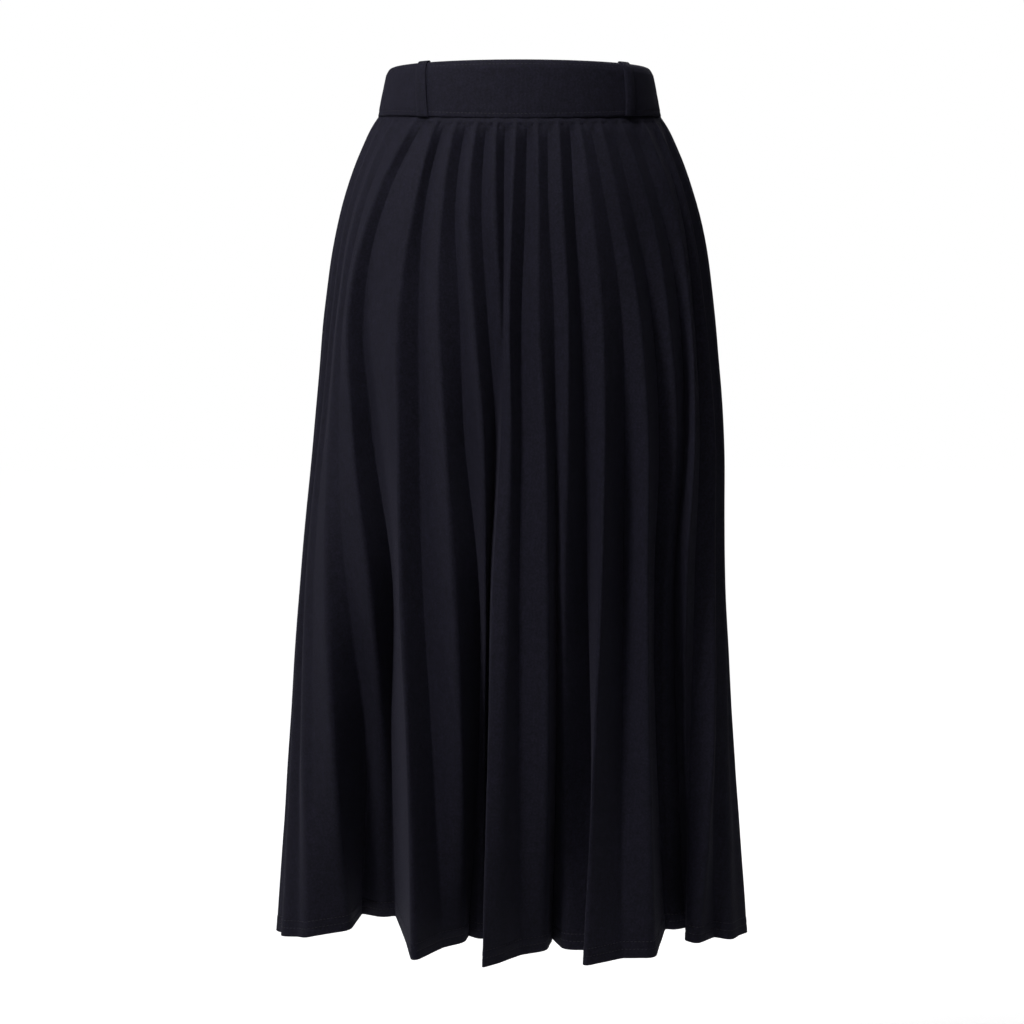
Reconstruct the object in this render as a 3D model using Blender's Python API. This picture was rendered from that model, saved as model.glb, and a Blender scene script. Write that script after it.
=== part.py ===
"""A pleated midi skirt, held open at the waist as it is when worn.

Two pleated panels hang from an elastic waistband with four belt loops. X is across the skirt, -Y is
the side that shows in front and +Z is up. The origin is the middle of the waist opening, where the
wearer's waist holds the band. Sizes are in metres, and angles run round the skirt in degrees from
the middle of the front, with +X positive.
"""

import math

import bmesh
import bpy
import numpy as np

# Waistband
BAND_TOP = 0.025
BAND_THICK = 0.0034
BAND_TOP_WIDTH = 0.2265
BAND_TOP_DEPTH = 0.182
BAND_EDGE_ROUND = 0.0009
BAND_SPANS = 72
SEAM_AT_SIDES = -0.017
SEAM_AT_FRONT = -0.025
SEAM_AT_BACK = -0.021

# Belt loops
LOOP_WIDTH = 0.0105
LOOP_THICK = 0.0016
LOOP_SPARE = 0.0018
LOOP_OVER_TOP = 0.0016
LOOP_ROWS = 8
LOOP_COLUMNS = ("name", "angle_at_top", "angle_at_seam")
LOOPS = (
    ("belt_loop_front_left", -46.6, -41.6),
    ("belt_loop_front_right", 52.5, 49.5),
    ("belt_loop_back_left", -131.0, -134.0),
    ("belt_loop_back_right", 131.0, 134.0),
)

# Pleated cloth
CLOTH_THICK = 0.0014
SEAM_GAP = 0.0003
HEM_Z = -0.735
HEM_LIFT = 0.09
SEEN_FROM = 2.4
SIDE_START = 55.0
BACK_EASE = 0.8
ROW_DROPS = (0, .008, .02, .04, .07, .11, .16, .22, .29, .365, .44, .515, .59, .655, .712)

# The smooth outline that the ridges reach, by the drop below the waist seam.
OUTLINE_COLUMNS = ("drop", "half_width", "front_depth", "back_depth", "sway", "bend")
OUTLINE = (
    (0.000, 0.1217, 0.097, 0.097, 0.000, 0.0015),
    (0.010, 0.1285, 0.102, 0.102, 0.000, 0.0018),
    (0.028, 0.1375, 0.108, 0.108, 0.000, 0.0022),
    (0.072, 0.1535, 0.116, 0.117, 0.000, 0.0026),
    (0.115, 0.1637, 0.120, 0.122, 0.000, 0.0030),
    (0.160, 0.1702, 0.123, 0.125, 0.000, 0.0032),
    (0.265, 0.1800, 0.126, 0.129, 0.000, 0.0036),
    (0.387, 0.1874, 0.130, 0.133, -0.005, 0.0042),
    (0.527, 0.1970, 0.135, 0.138, -0.007, 0.0050),
    (0.712, 0.2110, 0.141, 0.145, -0.007, 0.0060),
)

# Each pressed fold of the front panel, from its left side seam to its right one. The angles are where
# the fold is seen at each level, and the last five columns are how many millimetres it is set back
# from the outline there. Between the yoke and the seam a groove runs out to GROOVE_AT_SEAM.
LEVEL_DROPS = {
    "seam": 0.0, "yoke": 0.070, "hip": 0.160, "thigh": 0.265, "knee": 0.387, "calf": 0.527, "hem": 0.712,
}
SET_BACK_DROPS = {
    "seam": 0.0, "gather": 0.014, "yoke": 0.070, "hip": 0.160, "knee": 0.387, "calf": 0.555, "hem": 0.712,
}
GROOVE_AT_SEAM = 2.0
GATHER_SHARE = 0.55
FOLD_COLUMNS = (
    "fold", "seam", "yoke", "hip", "thigh", "knee", "calf", "hem",
    "at_yoke", "at_hip", "at_knee", "at_calf", "at_hem",
)
FOLDS = (
    ("groove", -93, -93, -93, -94, -95, -97, -100, 5, 8, 12, 14, 16),
    ("ridge", -88, -89, -89, -90, -91, -92, -94, 0, 0, 0, 0, 0),
    ("groove", -84, -85, -85, -86, -87, -88, -88, 3, 4, 4, 5, 8),
    ("ridge", -80, -81, -81, -83, -84, -84, -82, 0, 0, 0, 2, 5),
    ("groove", -75, -77, -78, -80, -81, -80, -76, 3, 4, 5, 10, 18),
    ("ridge", -70, -73, -74, -76, -77, -74, -66, 0, 0, 1, 6, 26),
    ("groove", -65, -69, -71, -72.5, -71.5, -67, -56, 3, 3, 5, 16, 46),
    ("ridge", -60, -64.5, -68, -68, -62, -53.4, -42.5, 0, 0, 2, 24, 80),
    ("groove", -54, -60, -64.5, -62.5, -52.6, -41.3, -39.5, 4, 3, 20, 84, 132),
    ("ridge", -46, -55, -61.5, -55, -43.2, -36, -33.5, 0, 0, 16, 75, 127),
    ("groove", -40.5, -49, -53, -46.2, -35, -32.4, -29.2, 9, 19, 54, 88, 136),
    ("ridge", -35.5, -36.5, -38.4, -36.5, -32.4, -28.1, -24.5, 0, 0, 3, 6, 12),
    ("groove", -31, -32.3, -31.3, -29.2, -25.5, -21, -17, 9.5, 15, 27, 40, 53),
    ("ridge", -26.5, -26.2, -24.9, -21.5, -16.5, -13, -11.2, 0, 0, 6, 24, 71),
    ("groove", -21.8, -21.4, -18.1, -15.8, -9.5, -8.5, -10.6, 9.5, 14, 36, 62, 90),
    ("ridge", -17.6, -17.2, -14, -10.5, -7.6, -6.9, -7.5, 0, 0, 16, 54, 80),
    ("groove", -13.4, -12.6, -9.8, -6.9, -6.6, -6.1, -5.2, 9.5, 13, 42, 68, 88),
    ("ridge", -9.7, -8.2, -6, -6, -6.2, -6, -6.2, 1, 6, 36, 48, 45),
    ("groove", -5.9, -5.2, -4.8, -5.2, -5.5, -6.1, -7.1, 9.5, 9, 6, 2, 3),
    ("ridge", -1.6, -2.6, -3.3, -2.6, -1.8, -2, -3.3, 0, 0, 2, 4, 16),
    ("groove", 2.8, 1.9, 0.5, 0.3, 1.3, 1.8, 2.2, 9.5, 13, 17, 24, 38),
    ("ridge", 6.8, 6, 5.4, 7, 9, 9.6, 8.6, 0, 0, 3, 12, 48),
    ("groove", 10.9, 9.3, 10, 10, 11.6, 11.6, 9.8, 6, 9, 28, 52, 84),
    ("ridge", 15.4, 14, 14.2, 13.3, 13.5, 13.4, 12.8, 0, 0, 10, 32, 50),
    ("groove", 19.8, 17.8, 18, 18.3, 20.2, 21.1, 19.2, 9.5, 14, 30, 42, 46),
    ("ridge", 24, 23.6, 24.8, 24.3, 24.2, 21.6, 17.5, 0, 0, 2, 2, 3),
    ("groove", 28, 28.8, 31.2, 30.7, 30.8, 29.7, 27.6, 4, 10, 34, 28, 18),
    ("ridge", 33.5, 34.2, 37.6, 38.6, 38.8, 38.3, 37.2, 0, 0, 0, 2, 9),
    ("groove", 38, 39, 42.2, 42.7, 41.2, 40, 40.2, 4, 15, 38, 66, 86),
    ("ridge", 44, 47, 49.4, 50, 46.6, 44.4, 43.6, 0, 2, 24, 56, 80),
    ("groove", 49.5, 51.3, 54, 53.3, 49, 47.6, 47.3, 7, 17, 36, 60, 82),
    ("ridge", 57, 60, 61, 58.6, 54.4, 50.8, 50.4, 0, 0, 6, 36, 64),
    ("groove", 63, 65, 65.4, 63, 58.4, 53.6, 47, 6, 12, 22, 38, 46),
    ("ridge", 69, 70, 71, 72, 71, 66.5, 51.2, 0, 0, 0, 2, 30),
    ("groove", 74.5, 75, 76.5, 78, 77.5, 73, 60.5, 5, 6, 8, 14, 36),
    ("ridge", 80, 80.5, 82, 83.5, 84, 81, 73, 0, 0, 0, 3, 8),
    ("groove", 84.5, 86, 87, 87.5, 88, 86, 83, 3, 4, 5, 6, 8),
    ("ridge", 89, 89, 90, 90.5, 91, 91, 91, 0, 0, 0, 0, 0),
    ("groove", 93, 93, 94, 94, 95, 96, 97, 5, 8, 12, 14, 16),
)

CLOTH_COLOUR = (0.012, 0.012, 0.020, 1.0)
CLOTH_ROUGHNESS = 0.85


def column(table, columns, name):
    """One named column of a table, as an array."""
    return np.array([row[columns.index(name)] for row in table], float)


def smooth_read(at, knots, values):
    """A smooth curve through values at the knots, read at one place."""
    knots, values = np.asarray(knots, float), np.asarray(values, float)
    slopes = np.gradient(values, knots)
    i = int(np.clip(np.searchsorted(knots, at) - 1, 0, len(knots) - 2))
    span = knots[i + 1] - knots[i]
    t = min(max((at - knots[i]) / span, 0.0), 1.0)
    ease = t * t * (3 - 2 * t)
    leave = t * (1 - t) ** 2 * span * slopes[i]
    arrive = t * t * (1 - t) * span * slopes[i + 1]
    return values[i] * (1 - ease) + values[i + 1] * ease + leave - arrive


def outline_at(drop):
    """The outline's sizes at one drop below the waist seam, by name."""
    drops = column(OUTLINE, OUTLINE_COLUMNS, "drop")
    return {
        name: float(smooth_read(drop, drops, column(OUTLINE, OUTLINE_COLUMNS, name)))
        for name in OUTLINE_COLUMNS[1:]
    }


def front_folds_at(drop):
    """(angle, set-back in metres) of each fold of the front panel at one drop."""
    level_drops = list(LEVEL_DROPS.values())
    depth_drops = list(SET_BACK_DROPS.values())
    folds = []
    for row in FOLDS:
        named = dict(zip(FOLD_COLUMNS, row))
        angle = smooth_read(drop, level_drops, [named[level] for level in LEVEL_DROPS])
        is_groove = named["fold"] == "groove"
        upper = [is_groove * GROOVE_AT_SEAM, GATHER_SHARE * named["at_yoke"], named["at_yoke"]]
        lower = [named["at_hip"], named["at_knee"], named["at_calf"], named["at_hem"]]
        set_back = smooth_read(drop, depth_drops, upper + lower)
        folds.append((float(angle), max(0.0, float(set_back)) / 1000))
    return folds


def ring_of_folds(drop):
    """(angle, set-back) of every fold round the skirt. The back repeats the front's folds, shallower."""
    front = front_folds_at(drop)
    left, right = front[0][0], front[-1][0]
    back_start, back_span = right, (left + 360) - right
    ease = 1 + (BACK_EASE - 1) * min(1.0, drop / LEVEL_DROPS["hem"]) ** 0.5
    back = [
        (back_start + (angle - left) / (right - left) * back_span, set_back * ease)
        for angle, set_back in front[1:-1]
    ]
    return front + back, len(front)


def plan_point(angle, set_back, outline):
    """The plan place of a fold: on the outline at that angle, then set back into the skirt."""
    turn = math.radians(angle)
    across, ahead = math.sin(turn), math.cos(turn)
    from_middle = min(abs((angle + 180) % 360 - 180), 180 - abs((angle + 180) % 360 - 180))
    t = min(max((from_middle - SIDE_START) / (90 - SIDE_START), 0.0), 1.0)
    inward = math.pi / 2 * t * t * (3 - 2 * t)
    depth = outline["front_depth"] if ahead > 0 else outline["back_depth"]
    forward = depth * ahead - math.copysign(set_back * math.cos(inward), ahead)
    x = outline["half_width"] * across * (1 - max(0.0, forward if ahead > 0 else 0.0) / SEEN_FROM)
    x -= math.copysign(set_back * math.sin(inward), across)
    return np.array([x + outline["sway"], -forward])


def bent_corner(before, corner, after, reach, steps):
    """The points of a soft bend that replaces a sharp corner, on a curve of steps + 1 points."""
    back, on = before - corner, after - corner
    start = corner + back * min(0.36, reach / max(np.linalg.norm(back), 1e-9))
    end = corner + on * min(0.36, reach / max(np.linalg.norm(on), 1e-9))
    ts = [i / steps for i in range(steps + 1)]
    return [(1 - t) ** 2 * start + 2 * t * (1 - t) * corner + t * t * end for t in ts]


def turn_of(point, outline):
    """The angle round the outline at which a plan point lies."""
    depth = outline["front_depth"] if point[1] < 0 else outline["back_depth"]
    return math.degrees(math.atan2((point[0] - outline["sway"]) / outline["half_width"], -point[1] / depth))


def seam_z(angle):
    """The height of the waist seam at an angle: lowest at the front, highest at the sides."""
    ahead = math.cos(math.radians(angle))
    low = SEAM_AT_FRONT if ahead > 0 else SEAM_AT_BACK
    return SEAM_AT_SIDES + (low - SEAM_AT_SIDES) * ahead * ahead


def cloth_row(drop, steps=1):
    """The cloth's middle line round the skirt at one drop: plan points, heights, and the two side seams.

    Each fold gives steps + 1 points of a soft bend. The row starts at the left side seam."""
    outline = outline_at(drop)
    folds, front_count = ring_of_folds(drop)
    corners = [plan_point(angle, set_back, outline) for angle, set_back in folds]
    share = drop / LEVEL_DROPS["hem"]
    points, heights, seams = [], [], []
    for i, (angle, set_back) in enumerate(folds):
        before, after = corners[i - 1], corners[(i + 1) % len(corners)]
        bend = bent_corner(before, corners[i], after, outline["bend"], steps)
        tops = [seam_z(turn_of(point, outline)) - SEAM_GAP for point in bend]
        if i in (0, front_count - 1):
            seams.append(len(points) + steps // 2)
        points += bend
        heights += [top + (HEM_Z + HEM_LIFT * set_back - top) * share for top in tops]
    return np.array(points), np.array(heights), seams


def wall_sides(points, thick):
    """The outer and inner plan lines of a wall of one thickness about a closed line of points."""
    ahead = np.roll(points, -1, axis=0) - points
    ahead /= np.linalg.norm(ahead, axis=1, keepdims=True)
    behind = np.roll(ahead, 1, axis=0)
    out = np.stack([ahead[:, 1] + behind[:, 1], -ahead[:, 0] - behind[:, 0]], axis=1)
    out /= np.linalg.norm(out, axis=1, keepdims=True)
    side = np.stack([ahead[:, 1], -ahead[:, 0]], axis=1)
    reach = thick / 2 / np.maximum(0.6, (out * side).sum(axis=1))
    return points + out * reach[:, None], points - out * reach[:, None]


def cloth_colour():
    """The knit cloth's plain colour."""
    found = bpy.data.materials.get("black_navy_knit")
    if found:
        return found
    material = bpy.data.materials.new("black_navy_knit")
    material.use_nodes = True
    shader = material.node_tree.nodes["Principled BSDF"]
    shader.inputs["Base Color"].default_value = CLOTH_COLOUR
    shader.inputs["Roughness"].default_value = CLOTH_ROUGHNESS
    shader.inputs["Metallic"].default_value = 0.0
    return material


def finished(name, bm):
    """Makes a bmesh one named object with the cloth's colour."""
    bmesh.ops.recalc_face_normals(bm, faces=bm.faces)
    mesh = bpy.data.meshes.new(name)
    bm.to_mesh(mesh)
    bm.free()
    mesh.materials.append(cloth_colour())
    obj = bpy.data.objects.new(name, mesh)
    bpy.context.scene.collection.objects.link(obj)
    return obj


def closed_wall(name, outer, inner):
    """A closed wall between two grids of points, each [row][place along the row]."""
    bm = bmesh.new()
    grids = [[[bm.verts.new(p) for p in row] for row in grid] for grid in (outer, inner)]
    rows, places = len(outer), len(outer[0])
    for grid in grids:
        for r in range(rows - 1):
            for c in range(places - 1):
                bm.faces.new((grid[r][c], grid[r][c + 1], grid[r + 1][c + 1], grid[r + 1][c]))
    out, inn = grids
    for r in (0, rows - 1):
        for c in range(places - 1):
            bm.faces.new((out[r][c], out[r][c + 1], inn[r][c + 1], inn[r][c]))
    for c in (0, places - 1):
        for r in range(rows - 1):
            bm.faces.new((out[r][c], out[r + 1][c], inn[r + 1][c], inn[r][c]))
    return finished(name, bm)


def panel_rows(thick):
    """Outer and inner points of the front and back panels, row by row, parted at the side seams."""
    panels = {"front": ([], []), "back": ([], [])}
    for drop in ROW_DROPS:
        points, heights, (left, right) = cloth_row(drop)
        sides = wall_sides(points, thick)
        count = len(points)
        spans = {"front": range(left, right + 2), "back": range(right, left + count + 2)}
        for panel, span in spans.items():
            places = [i % count for i in span]
            for side, grid in zip(sides, panels[panel]):
                row = [np.append(side[i], heights[i]) for i in places]
                first, last = (row[0] + row[1]) / 2, (row[-1] + row[-2]) / 2
                along_first = (row[1] - row[0]) / np.linalg.norm(row[1] - row[0])
                along_last = (row[-1] - row[-2]) / np.linalg.norm(row[-1] - row[-2])
                row[0] = first + along_first * SEAM_GAP / 2
                row[-1] = last - along_last * SEAM_GAP / 2
                grid.append(row)
    return panels


def band_point(angle, up, out):
    """A point of the waistband: up from 0 at the seam to 1 at the top edge, out from its middle layer."""
    turn = math.radians(angle)
    seam = outline_at(0.0)
    depth = seam["front_depth"] if math.cos(turn) > 0 else seam["back_depth"]
    half_x = seam["half_width"] + (BAND_TOP_WIDTH / 2 - seam["half_width"]) * up
    half_y = depth + (BAND_TOP_DEPTH / 2 - depth) * up
    normal = np.array([half_y * math.sin(turn), -half_x * math.cos(turn)])
    normal /= np.linalg.norm(normal)
    plan = np.array([half_x * math.sin(turn), -half_y * math.cos(turn)]) + normal * out
    low = seam_z(angle)
    return np.array([plan[0], plan[1], low + (BAND_TOP - low) * up])


def waistband():
    """The elastic waistband: one closed ring with rounded edges."""
    half, edge = BAND_THICK / 2, BAND_EDGE_ROUND
    profile = [(edge, half), (None, half), (-edge, half), (0, half - edge), (0, edge - half),
               (-edge, -half), (None, -half), (edge, -half), (0, edge - half), (0, half - edge)]
    bm = bmesh.new()
    rings = []
    for i in range(BAND_SPANS):
        angle = 360 * i / BAND_SPANS
        height = BAND_TOP - seam_z(angle)
        ups = [edge / height, 0.5, 1 - edge / height, 1, 1, 1 - edge / height, 0.5, edge / height, 0, 0]
        rings.append([
            bm.verts.new(band_point(angle, up, out)) for up, (_, out) in zip(ups, profile)
        ])
    for ring, following in zip(rings, rings[1:] + rings[:1]):
        for j in range(len(profile)):
            k = (j + 1) % len(profile)
            bm.faces.new((ring[j], ring[k], following[k], following[j]))
    return finished("waistband", bm)


def belt_loop(name, angle_at_top, angle_at_seam):
    """A belt loop: a strip made from the band's outer points, moved out, standing off a little midway."""
    half_turn = math.degrees(LOOP_WIDTH * 2 / (BAND_TOP_WIDTH + BAND_TOP_DEPTH))
    over = LOOP_OVER_TOP / (BAND_TOP - seam_z(angle_at_top))
    outer, inner = [], []
    for i in range(LOOP_ROWS + 1):
        share = i / LOOP_ROWS
        up = share * (1 + over)
        angle = angle_at_seam + (angle_at_top - angle_at_seam) * up
        clear = BAND_THICK / 2 + SEAM_GAP + LOOP_SPARE * math.sin(math.pi * share) ** 0.8
        turns = [angle - half_turn, angle, angle + half_turn]
        inner.append([band_point(turn, up, clear) for turn in turns])
        outer.append([band_point(turn, up, clear + LOOP_THICK) for turn in turns])
    return closed_wall(name, outer, inner)


def build():
    """Makes every piece of the skirt."""
    for obj in list(bpy.data.objects):
        bpy.data.objects.remove(obj, do_unlink=True)
    for panel, (outer, inner) in panel_rows(CLOTH_THICK).items():
        closed_wall(f"skirt_{panel}", outer, inner)
    waistband()
    for row in LOOPS:
        belt_loop(*row)


build()
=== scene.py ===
"""The looks of the pleated midi skirt: its knit cloth, folds, sewing and studio.

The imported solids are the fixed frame. Each cloth piece here lies in the space of the solid it stands
for. Sizes are in metres, +Z is up, -Y is the front, and angles run round the skirt in degrees from
the middle of the front, with +X positive.
"""

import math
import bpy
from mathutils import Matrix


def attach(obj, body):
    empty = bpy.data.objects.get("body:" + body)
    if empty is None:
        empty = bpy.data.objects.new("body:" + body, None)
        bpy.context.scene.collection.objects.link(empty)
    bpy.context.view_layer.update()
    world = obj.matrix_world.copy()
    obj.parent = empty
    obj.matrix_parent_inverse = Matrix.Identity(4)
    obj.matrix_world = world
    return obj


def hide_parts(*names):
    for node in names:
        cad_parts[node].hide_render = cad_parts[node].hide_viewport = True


bl_info = {
    "name": "Pleated Midi Skirt",
    "version": (1, 0, 0),
    "blender": (4, 5, 0),
    "location": "View3D > Sidebar > Skirt",
    "description": "Makes the knit cloth, the sewing and the studio of a pleated midi skirt",
    "category": "Object",
}

import bmesh
import bpy
import numpy as np
from bpy.props import FloatProperty, FloatVectorProperty, IntProperty, PointerProperty
from mathutils import Matrix, Vector, noise

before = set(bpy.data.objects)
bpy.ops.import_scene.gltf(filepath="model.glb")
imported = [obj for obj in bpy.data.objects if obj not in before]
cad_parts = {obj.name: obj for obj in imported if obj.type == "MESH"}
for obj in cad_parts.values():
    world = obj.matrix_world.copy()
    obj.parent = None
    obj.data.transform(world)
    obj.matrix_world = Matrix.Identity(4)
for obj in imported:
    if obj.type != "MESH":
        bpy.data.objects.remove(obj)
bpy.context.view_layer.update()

# The waistband.
BAND_TOP = 0.025
BAND_THICK = 0.0030
BAND_TOP_WIDTH = 0.2265
BAND_TOP_DEPTH = 0.182
BAND_TOP_CURL = 0.0026
BAND_CURL_FROM = 0.84
BAND_CURL_SPAN = 0.16
BAND_EDGE_ROUND = 0.0013
BAND_HEIGHT = 0.05
BAND_BULGE = 0.0004
BAND_SWELL = 0.00045
BAND_RIPPLE = 0.0002
SEAM_AT_SIDES = -0.017
SEAM_AT_FRONT = -0.025
SEAM_AT_BACK = -0.021

# The pleated cloth. SEAM_GAP parts the panels at a side seam, where they roll inward a little. SEAM_TUCK is
# how far they reach up into the waistband. HEM_LIFT raises the hem for each metre of set-back. The outline is
# as wide as it looks from SEEN_FROM in front. From SIDE_START degrees on, folds are set back more and more
# across the skirt. BACK_EASE is the share of a front fold's set-back that the back has at the hem.
SEAM_GAP = 0.0003
SEAM_TUCK = 0.0016
SEAM_ROLL = 0.0008
SEAM_ROLL_WIDTH = 0.0022
HEM_Z = -0.735
HEM_LIFT = 0.09
SEEN_FROM = 2.4
SIDE_START = 55.0
BACK_EASE = 0.8

# The gathers under the waist seam: the drop at which their slits start, the drop over which they deepen, the
# drop from which they fade, how fast they fade, and where the close mesh rows for them end.
GATHER_START = 0.0045
GATHER_RAMP = 0.0025
GATHER_WHOLE_TO = 0.008
GATHER_FADE = 0.009
GATHER_ROWS_TO = 0.028

# The unevenness of the cloth grows to its whole size down to LOOSE_BELOW. Then the hem: its ripple, where its
# close mesh rows start, and the dips along its stitch rows.
LOOSE_BELOW = 0.06
FINE_SHARE = 0.3
HEM_RIPPLE = 0.0005
HEM_RIPPLE_HEIGHT = 0.008
HEM_ROWS_FROM = 0.694
HEM_STITCH_DIP = 0.00022
HEM_DIP_SPREAD = 0.0009

OUTLINE_COLUMNS = ("drop", "half_width", "front_depth", "back_depth", "sway", "bend")
OUTLINE = (
    (0.000, 0.1217, 0.097, 0.097, 0.000, 0.0014),
    (0.010, 0.1285, 0.102, 0.102, 0.000, 0.0014),
    (0.028, 0.1375, 0.108, 0.108, 0.000, 0.0016),
    (0.072, 0.1535, 0.116, 0.117, 0.000, 0.0021),
    (0.115, 0.1637, 0.120, 0.122, 0.000, 0.0024),
    (0.160, 0.1702, 0.123, 0.125, 0.000, 0.0026),
    (0.265, 0.1800, 0.126, 0.129, 0.000, 0.0031),
    (0.387, 0.1874, 0.130, 0.133, -0.005, 0.0040),
    (0.527, 0.1970, 0.135, 0.138, -0.007, 0.0054),
    (0.712, 0.2110, 0.141, 0.145, -0.007, 0.0080),
)

LEVEL_DROPS = {
    "seam": 0.0, "yoke": 0.070, "hip": 0.160, "thigh": 0.265, "knee": 0.387, "calf": 0.527, "hem": 0.712,
}
SET_BACK_DROPS = {
    "seam": 0.0, "strip": 0.0045, "gather": 0.014, "yoke": 0.070, "hip": 0.160, "knee": 0.387, "calf": 0.555,
    "hem": 0.712,
}
# A groove's set-back in millimetres at the seam and the strip, the share of its yoke set-back that a fold has
# at the gather, how wide a groove bends beside a ridge, and the most of a wall that one bend takes.
GROOVE_AT_SEAM = 0.4
GROOVE_AT_STRIP = 0.8
GATHER_SHARE = 0.55
GROOVE_BEND = 0.4
BEND_LIMIT = 0.42
# Each fold's angle at seven drops, then its set-back in millimetres at five.
FOLD_COLUMNS = (
    "fold", "seam", "yoke", "hip", "thigh", "knee", "calf", "hem",
    "at_yoke", "at_hip", "at_knee", "at_calf", "at_hem",
)
FOLDS = (
    ("groove", -93, -93, -93, -94, -95, -97, -100, 5, 8, 12, 14, 16),
    ("ridge", -88, -89, -89, -90, -91, -92, -94, 0, 0, 0, 0, 0),
    ("groove", -84, -85, -85, -86, -87, -88, -88, 3, 4, 4, 5, 8),
    ("ridge", -80, -81, -81, -83, -84, -84, -82, 0, 0, 0, 2, 5),
    ("groove", -75, -77, -78, -80, -81, -80, -76, 3, 4, 5, 10, 18),
    ("ridge", -70, -73, -74, -76, -77, -74, -66, 0, 0, 1, 6, 26),
    ("groove", -65, -69, -71, -72.5, -71.5, -67, -56, 3, 3, 5, 16, 46),
    ("ridge", -60, -64.5, -68, -68, -62, -53.4, -42.5, 0, 0, 2, 24, 80),
    ("groove", -54, -60, -64.5, -62.5, -52.6, -41.3, -39.5, 4, 3, 20, 84, 132),
    ("ridge", -46, -55, -61.5, -55, -43.2, -36, -33.5, 0, 0, 16, 75, 127),
    ("groove", -40.5, -49, -53, -46.2, -35, -32.4, -29.2, 9, 19, 54, 88, 136),
    ("ridge", -35.5, -36.5, -38.4, -36.5, -32.4, -28.1, -24.5, 0, 0, 3, 6, 12),
    ("groove", -31, -32.3, -31.3, -29.2, -25.5, -21, -17, 9.5, 15, 27, 40, 53),
    ("ridge", -26.5, -26.2, -24.9, -21.5, -16.5, -13, -11.2, 0, 0, 6, 24, 71),
    ("groove", -21.8, -21.4, -18.1, -15.8, -9.5, -8.5, -10.6, 9.5, 14, 36, 62, 90),
    ("ridge", -17.6, -17.2, -14, -10.5, -7.6, -6.9, -7.5, 0, 0, 16, 54, 80),
    ("groove", -13.4, -12.6, -9.8, -6.9, -6.6, -6.1, -5.2, 9.5, 13, 42, 68, 88),
    ("ridge", -9.7, -8.2, -6, -6, -6.2, -6, -6.2, 1, 6, 36, 48, 45),
    ("groove", -5.9, -5.2, -4.8, -5.2, -5.5, -6.1, -7.1, 9.5, 9, 6, 2, 3),
    ("ridge", -1.6, -2.6, -3.3, -2.6, -1.8, -2, -3.3, 0, 0, 2, 4, 16),
    ("groove", 2.8, 1.9, 0.5, 0.3, 1.3, 1.8, 2.2, 9.5, 13, 17, 24, 38),
    ("ridge", 6.8, 6, 5.4, 7, 9, 9.6, 8.6, 0, 0, 3, 12, 48),
    ("groove", 10.9, 9.3, 10, 10, 11.6, 11.6, 9.8, 6, 9, 28, 52, 84),
    ("ridge", 15.4, 14, 14.2, 13.3, 13.5, 13.4, 12.8, 0, 0, 10, 32, 50),
    ("groove", 19.8, 17.8, 18, 18.3, 20.2, 21.1, 19.2, 9.5, 14, 30, 42, 46),
    ("ridge", 24, 23.6, 24.8, 24.3, 24.2, 21.6, 17.5, 0, 0, 2, 2, 3),
    ("groove", 28, 28.8, 31.2, 30.7, 30.8, 29.7, 27.6, 4, 10, 34, 28, 18),
    ("ridge", 33.5, 34.2, 37.6, 38.6, 38.8, 38.3, 37.2, 0, 0, 0, 2, 9),
    ("groove", 38, 39, 42.2, 42.7, 41.2, 40, 40.2, 4, 15, 38, 66, 86),
    ("ridge", 44, 47, 49.4, 50, 46.6, 44.4, 43.6, 0, 2, 24, 56, 80),
    ("groove", 49.5, 51.3, 54, 53.3, 49, 47.6, 47.3, 7, 17, 36, 60, 82),
    ("ridge", 57, 60, 61, 58.6, 54.4, 50.8, 50.4, 0, 0, 6, 36, 64),
    ("groove", 63, 65, 65.4, 63, 58.4, 53.6, 47, 6, 12, 22, 38, 46),
    ("ridge", 69, 70, 71, 72, 71, 66.5, 51.2, 0, 0, 0, 2, 30),
    ("groove", 74.5, 75, 76.5, 78, 77.5, 73, 60.5, 5, 6, 8, 14, 36),
    ("ridge", 80, 80.5, 82, 83.5, 84, 81, 73, 0, 0, 0, 3, 8),
    ("groove", 84.5, 86, 87, 87.5, 88, 86, 83, 3, 4, 5, 6, 8),
    ("ridge", 89, 89, 90, 90.5, 91, 91, 91, 0, 0, 0, 0, 0),
    ("groove", 93, 93, 94, 94, 95, 96, 97, 5, 8, 12, 14, 16),
)

# Each belt loop and its angle at the band's top edge and at the seam.
LOOPS = (
    ("front_left", -46.6, -41.6), ("front_right", 52.5, 49.5),
    ("back_left", -131.0, -134.0), ("back_right", 131.0, 134.0),
)
# The middle line of a belt loop: up from 0 at the seam to 1 at the band's top edge, and out in
# millimetres from the band's outer face. It ends inside the band, over the top edge.
LOOP_PATH_COLUMNS = ("up", "out")
LOOP_PATH = (
    (0.006, 0.95), (0.05, 1.45), (0.18, 2.2), (0.38, 2.65), (0.60, 2.6), (0.80, 2.15), (0.93, 1.6),
    (0.985, 1.15), (1.010, 0.5), (1.019, -0.6), (1.019, -2.2), (1.008, -3.4), (0.972, -4.0), (0.93, -4.05),
)
LOOP_THICK = 0.0012
LOOP_LENGTH = 0.06
LOOP_CURL = 0.0010
LOOP_CURL_WHOLE_AT = 0.002
LOOP_TURNS_OVER_AT = -0.001

# Each kind of unevenness: its size across, and where in the noise it is read.
WAVES = {
    "cloth": (0.055, 0.0), "fine cloth": (0.017, 40.0), "hem": (0.009, 80.0),
    "band": (0.024, 12.0), "fine band": (0.008, 31.0),
}

BAND_STITCH_ROWS = {"top": 0.0040, "seam": 0.0042}
BAND_STITCH_DIP = 0.00032
BAND_DIP_SPREAD = 0.0010
THREAD_FLATNESS = 0.8
STITCH_STANDS_OUT = 0.16

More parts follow.
